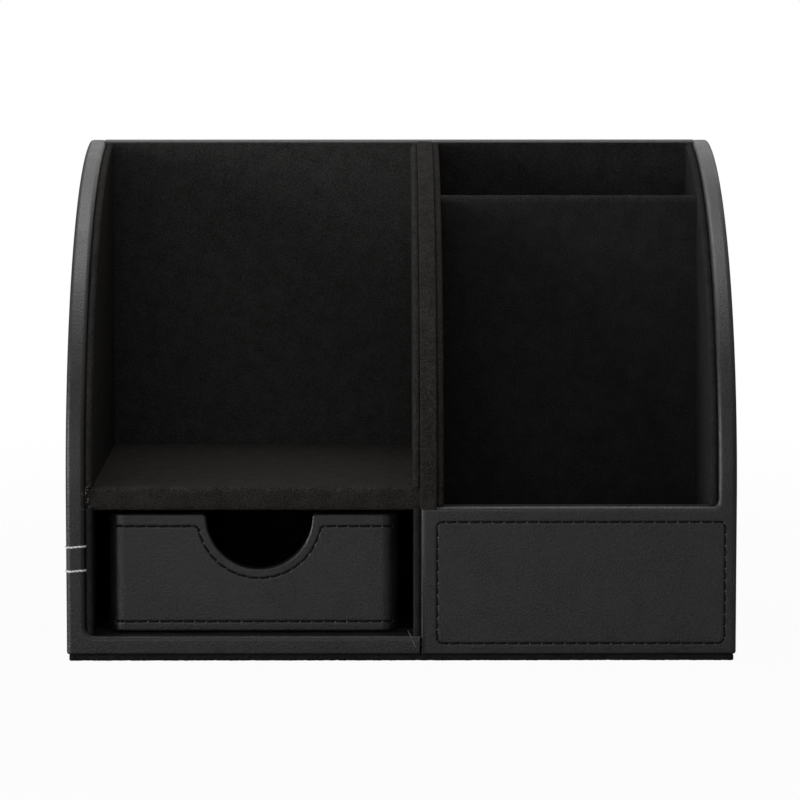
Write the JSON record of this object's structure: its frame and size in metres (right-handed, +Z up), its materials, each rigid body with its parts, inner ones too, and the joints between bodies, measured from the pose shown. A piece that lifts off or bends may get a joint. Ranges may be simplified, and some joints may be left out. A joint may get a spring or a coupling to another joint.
{
  "type": "desk organizer box",
  "caption": "Upright desk organizer with curved sides, a pull-out drawer with a finger notch under a memo shelf, and divided pen and letter compartments beside them.",
  "frame": {"origin": "on the desk under the middle of the box, at the middle of its width and depth", "axes": "+X to the right seen from the front, -Y out of the open front, +Z up"},
  "size_m": [0.23, 0.14, 0.173],
  "materials": {
    "leather": "black imitation leather with a fine grain and a soft sheen",
    "velvet": "black flocked velvet on card, matt",
    "felt": "black felt, matt",
    "fibreboard": "raw fibreboard, matt",
    "steel": "bright drawn wire"
  },
  "bodies": {
    "case": {"base_board": "fibreboard", "base_front_wrap": "leather", "base_felt": "felt", "drawer_bay_floor_velvet": "velvet", "pen_bay_floor_velvet": "velvet", "rear_bay_floor_velvet": "velvet", "left_side_board": "fibreboard", "left_side_cover": "leather", "left_side_lining_upper": "velvet", "left_side_lining_lower": "velvet", "right_side_board": "fibreboard", "right_side_cover": "leather", "right_side_lining": "velvet", "back_board": "fibreboard", "back_cover": "leather", "back_lining_left_upper": "velvet", "back_lining_left_lower": "velvet", "back_lining_right": "velvet", "divider_board": "fibreboard", "divider_edge_strip": "velvet", "divider_lining_left_upper": "velvet", "divider_lining_left_lower": "velvet", "divider_lining_right": "velvet", "shelf_board": "fibreboard", "shelf_velvet": "velvet", "partition_board": "fibreboard", "partition_velvet": "velvet", "front_panel_board": "fibreboard", "front_panel_cover": "leather", "front_panel_lining": "velvet", "left_base_brad_front": "steel", "left_base_brad_rear": "steel", "left_back_brad_lower": "steel", "left_back_brad_upper": "steel", "right_base_brad_front": "steel", "right_base_brad_rear": "steel", "right_back_brad_lower": "steel", "right_back_brad_upper": "steel", "shelf_brad_front": "steel", "shelf_brad_rear": "steel", "divider_brad_front": "steel", "divider_brad_rear": "steel"},
    "drawer": {"drawer_front_board": "fibreboard", "drawer_back_board": "fibreboard", "drawer_left_board": "fibreboard", "drawer_right_board": "fibreboard", "drawer_bottom_board": "fibreboard", "drawer_wrap": "leather", "drawer_bottom_cover": "leather", "drawer_front_lining": "velvet", "drawer_back_lining": "velvet", "drawer_left_lining": "velvet", "drawer_right_lining": "velvet", "drawer_floor_lining": "velvet"}
  },
  "joints": [
    {"name": "drawer_slide", "type": "slide", "parent": "case", "child": "drawer", "axis": [0, -1, 0], "range_m": [0, 0.095]}
  ]
}
